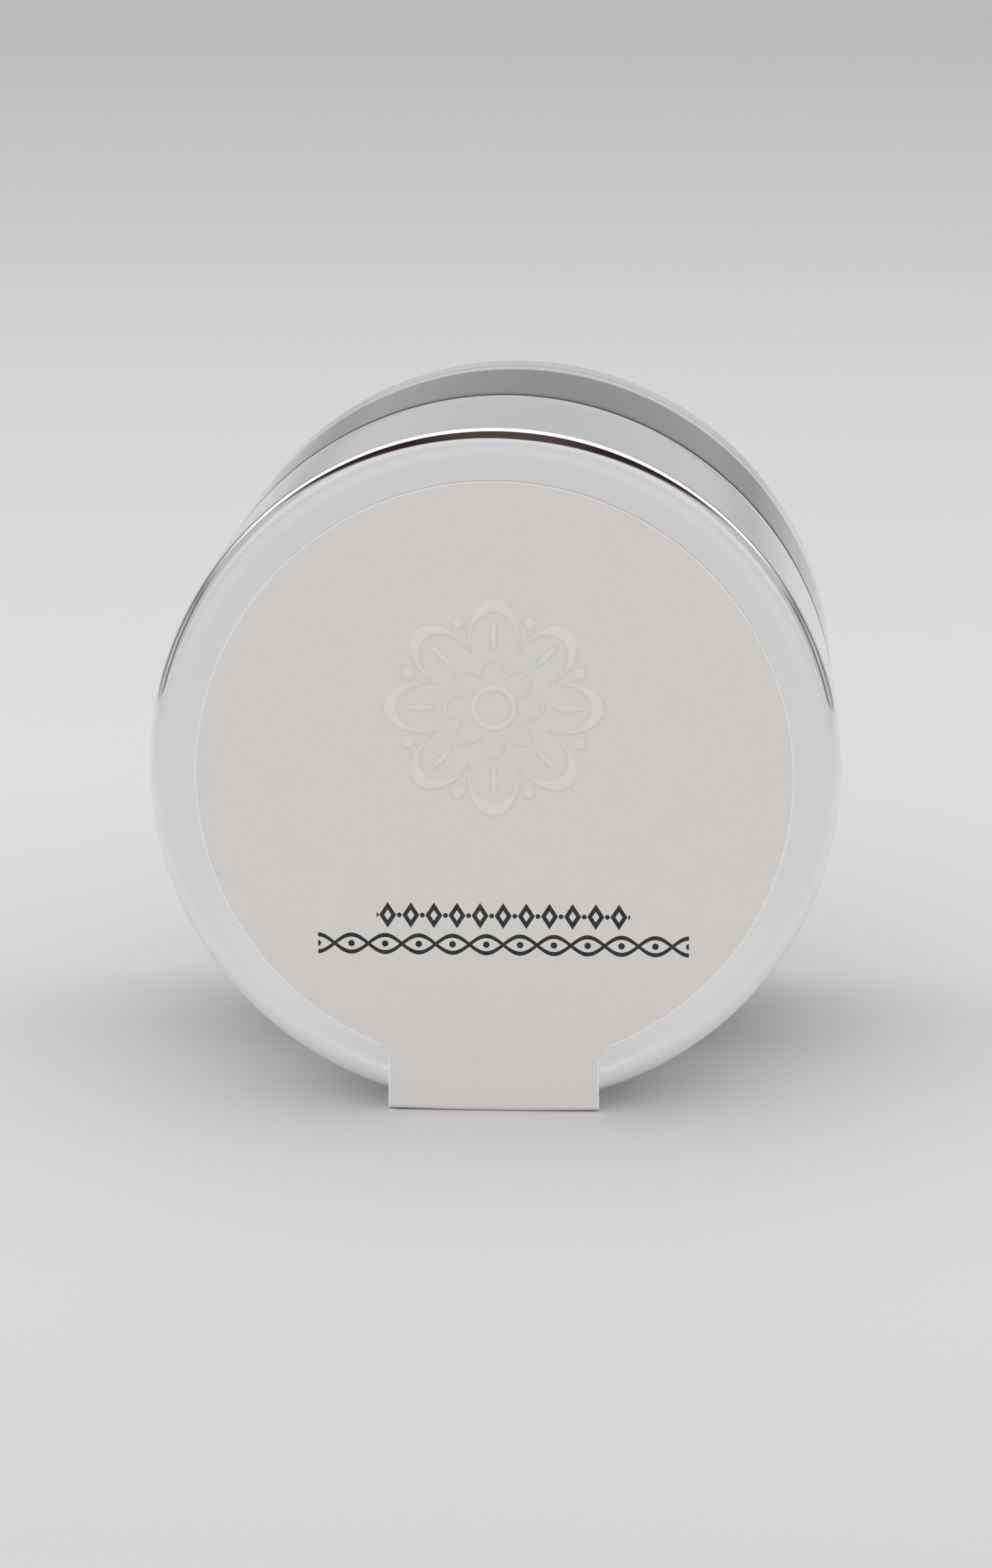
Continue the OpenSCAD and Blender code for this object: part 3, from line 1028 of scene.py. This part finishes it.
# %% Sheets with two sides and a cut edge
def close_sheet(bm, front, rear):
    """Faces for both sides of a sheet of points, and for the cut edge between them."""
    for grid in (front, rear):
        for above, below in zip(grid, grid[1:]):
            for i in range(len(above) - 1):
                bm.faces.new((above[i], above[i + 1], below[i + 1], below[i]))
    for i in range(len(front) - 1):
        for edge in (0, -1):
            bm.faces.new((front[i][edge], front[i + 1][edge], rear[i + 1][edge], rear[i][edge]))
    for end in (0, -1):
        for i in range(len(front[end]) - 1):
            bm.faces.new((front[end][i], front[end][i + 1], rear[end][i + 1], rear[end][i]))


# %% [markdown]
# ## Paper and printing
#
# The stock is uncoated and slightly warm, with short fibres that catch the light. Its printing
# is plain ornament drawn by maths: a chain of lozenges over a braided line. Drawing it in the
# shader keeps every edge crisp at any distance, which an image could not. The stamp's height is
# kept at each point of the sheet, so the shader can paint a sheen on its strokes and shade into their
# creases.

# %% Paper
PRINT_RIGHT = 0.9       # both printed rows sit this far right of the middle
CHAIN_DROP, CHAIN_W, CHAIN_H, LOZENGES = 13.7, 24.0, 2.5, 11
BRAID_DROP, BRAID_W, BRAID_H, BRAID_WAVES = 16.5, 35.1, 2.0, 11
BRAID_LINE = 0.17
SOFT_EDGE = 0.07
EDGE_W = 0.16           # a painted highlight runs this wide along the paper's cut edge
STAMP_SHEEN = 0.28      # how far pressed paper is painted lighter: a painted sheen on its smoother strokes
CREASE_SHADE = 0.16     # how dark the painted shade in the crease round each pressed stroke is


def chain_mask(tree, x, y):
    """Lozenges with a dot between each pair."""
    pitch = CHAIN_W / LOZENGES
    place_in = tree.math("FRACT", x / pitch + 100.5) - 0.5
    lozenge = abs(place_in) * (pitch / (pitch * 0.37)) + abs(y) / (CHAIN_H / 2)
    inner = abs(place_in) * (pitch / (pitch * 0.15)) + abs(y) / (CHAIN_H / 5)
    solid = 1 - tree.smooth(lozenge, 0.95, 1.05)
    hole = 1 - tree.smooth(inner, 0.9, 1.15)
    between = (0.5 - abs(place_in)) * pitch
    dot = 1 - tree.smooth((between * between + y * y) ** 0.5, 0.2, 0.2 + SOFT_EDGE)
    inside = 1 - tree.smooth(abs(x), CHAIN_W / 2 - SOFT_EDGE, CHAIN_W / 2)
    return tree.math("MAXIMUM", solid - hole, dot) * inside


def braid_mask(tree, x, y):
    """Two lines that wind round each other, with a bead in each loop."""
    phase = x * (math.pi * BRAID_WAVES / BRAID_W)
    height = BRAID_H / 2 - BRAID_LINE
    wave = tree.math("SINE", phase) * height
    near = tree.math("MINIMUM", abs(y - wave), abs(y + wave))
    line = 1 - tree.smooth(near, BRAID_LINE, BRAID_LINE + SOFT_EDGE)
    step = BRAID_W / BRAID_WAVES
    bead_at = (tree.math("FRACT", x / step + 100.0) - 0.5) * step
    bead = 1 - tree.smooth((bead_at * bead_at + y * y) ** 0.5, 0.28, 0.28 + SOFT_EDGE)
    inside = 1 - tree.smooth(abs(x), BRAID_W / 2 - SOFT_EDGE, BRAID_W / 2)
    return tree.math("MAXIMUM", line, bead) * inside


def paper_paint(tree):
    across, along, up = tree.split(tree.place())
    x = across / MM - PRINT_RIGHT
    drop = (AXIS - up) / MM
    on_face = 1 - tree.smooth((along - FRONT) / MM, PANEL_U - 0.08, PANEL_U)
    ink = tree.math(
        "MAXIMUM",
        chain_mask(tree, x, drop - CHAIN_DROP),
        braid_mask(tree, x, drop - BRAID_DROP),
    ) * on_face
    stretch = tree.node("ShaderNodeVectorMath", {"operation": "MULTIPLY"},
                        {0: tree.place(), 1: (1.0, 1.0, 0.35)})
    fibre = tree.noise(stretch, 2600.0, 5.0, 0.65)
    row = drop - LABEL_DROP
    from_middle = ((across / MM) * (across / MM) + row * row) ** 0.5
    round_edge = tree.smooth(from_middle, LABEL_R - EDGE_W, LABEL_R - EDGE_W / 2)
    round_edge = round_edge * (1 - tree.smooth(row, fillet_top - 0.2, fillet_top))
    tab_edge = tree.smooth(abs(across) / MM, TAB_HALF - EDGE_W, TAB_HALF - EDGE_W / 2)
    tab_edge = tab_edge * tree.smooth(row, fillet_y, fillet_y + 0.2)
    # Painted highlight: the face is painted paler along the cut edge, where it catches light
    painted_edge_highlight = tree.math("MINIMUM", round_edge + tab_edge, 1.0)
    cloud = tree.noise(tree.place(), 220.0, 3.0)
    stock = tree.blend(fibre * 0.6 + cloud * 0.4, (0.69, 0.675, 0.655, 1), (0.78, 0.765, 0.745, 1))
    stock = tree.blend(painted_edge_highlight, stock, (0.87, 0.86, 0.84, 1))
    pressed = tree.node("ShaderNodeAttribute", {"attribute_name": "stamp"}, out="Fac")
    crease = pressed * (1 - pressed) * 4
    # Painted sheen: pressed strokes are painted lighter
    stock = tree.blend(pressed * STAMP_SHEEN, stock, (0.86, 0.845, 0.825, 1))
    # Painted shade in the crease round each pressed stroke
    stock = tree.blend(crease * CREASE_SHADE, stock, (0.45, 0.43, 0.41, 1))
    return {
        "Base Color": tree.blend(ink * (0.93 + fibre * 0.1), stock, (0.014, 0.015, 0.018, 1)),
        "Roughness": 0.72 - ink * 0.22,
        "Specular IOR Level": 0.3,
        "Normal": tree.bump(fibre + cloud * 0.5, 0.012 * MM),
    }


paper = finish_material("uncoated_label_paper", paper_paint)

# %% Lid label
bm = bmesh.new()
raised = bm.verts.layers.float.new("stamp")
grids = []
for outer in (True, False):
    grid = []
    for row in rows:
        length = row + LABEL_DROP
        width = half_width(row)
        line = []
        for column in columns:
            x = column / LABEL_R * width
            drop, depth, normal = bend(x, length)
            height = stamp(x, -length - STAMP_RISE) if outer else 0.0
            out = STAMP_DEPTH * height if outer else -PAPER_T
            drop -= EDGE_LIFT * (x / TAB_HALF) ** 2 * ease((length - panel_edge) / LIFT_OVER)
            point = bm.verts.new(spot(x, drop + out * normal[0], depth + out * normal[1]))
            point[raised] = height
            line.append(point)
        grid.append(line)
    grids.append(grid)
close_sheet(bm, *grids)
add_object("round_label", bm, paper, "lid", "lid_label")

# %% [markdown]
# ## The torn-off end of the seal
#
# Past the lid's edge the seal has been cut by a row of tiny holes, and its last stretch stays
# on the glass. Its front edge keeps the little teeth of that row and its far end is torn, so
# a few summed waves bend both ends of a thin sheet.

# %% Seal strip
STRIP_COLUMNS = 96
STRIP_ROWS = 14
TOOTH_PITCH = 1.25
TOOTH_DEPTH = 0.12
TEAR_DEPTH = 0.7


def torn(x):
    """How far the torn end falls short at a distance from the middle."""
    rough = 0.5 + 0.22 * math.sin(1.1 * x + 0.4) + 0.16 * math.sin(2.9 * x) + 0.08 * math.sin(7.3 * x + 1)
    return TEAR_DEPTH * min(1.0, max(0.0, rough))


bm = bmesh.new()
grids = []
for outer in (True, False):
    grid = []
    for row in range(STRIP_ROWS + 1):
        share = row / STRIP_ROWS
        line = []
        for column in range(STRIP_COLUMNS + 1):
            x = TAB_HALF * (2 * column / STRIP_COLUMNS - 1)
            tooth = TOOTH_DEPTH * (0.5 + 0.5 * math.cos(2 * math.pi * x / TOOTH_PITCH))
            depth = TAIL_U + tooth + (TAIL_END_U - torn(x) - TAIL_U - tooth) * share
            lift = EDGE_LIFT * (x / TAB_HALF) ** 2
            drop = BODY_R + (PAPER_T if outer else 0.0) - lift
            line.append(bm.verts.new(spot(x, drop, depth)))
        grid.append(line)
    grids.append(grid)
close_sheet(bm, *grids)
add_object("seal_end", bm, paper, "jar", "seal_strip")
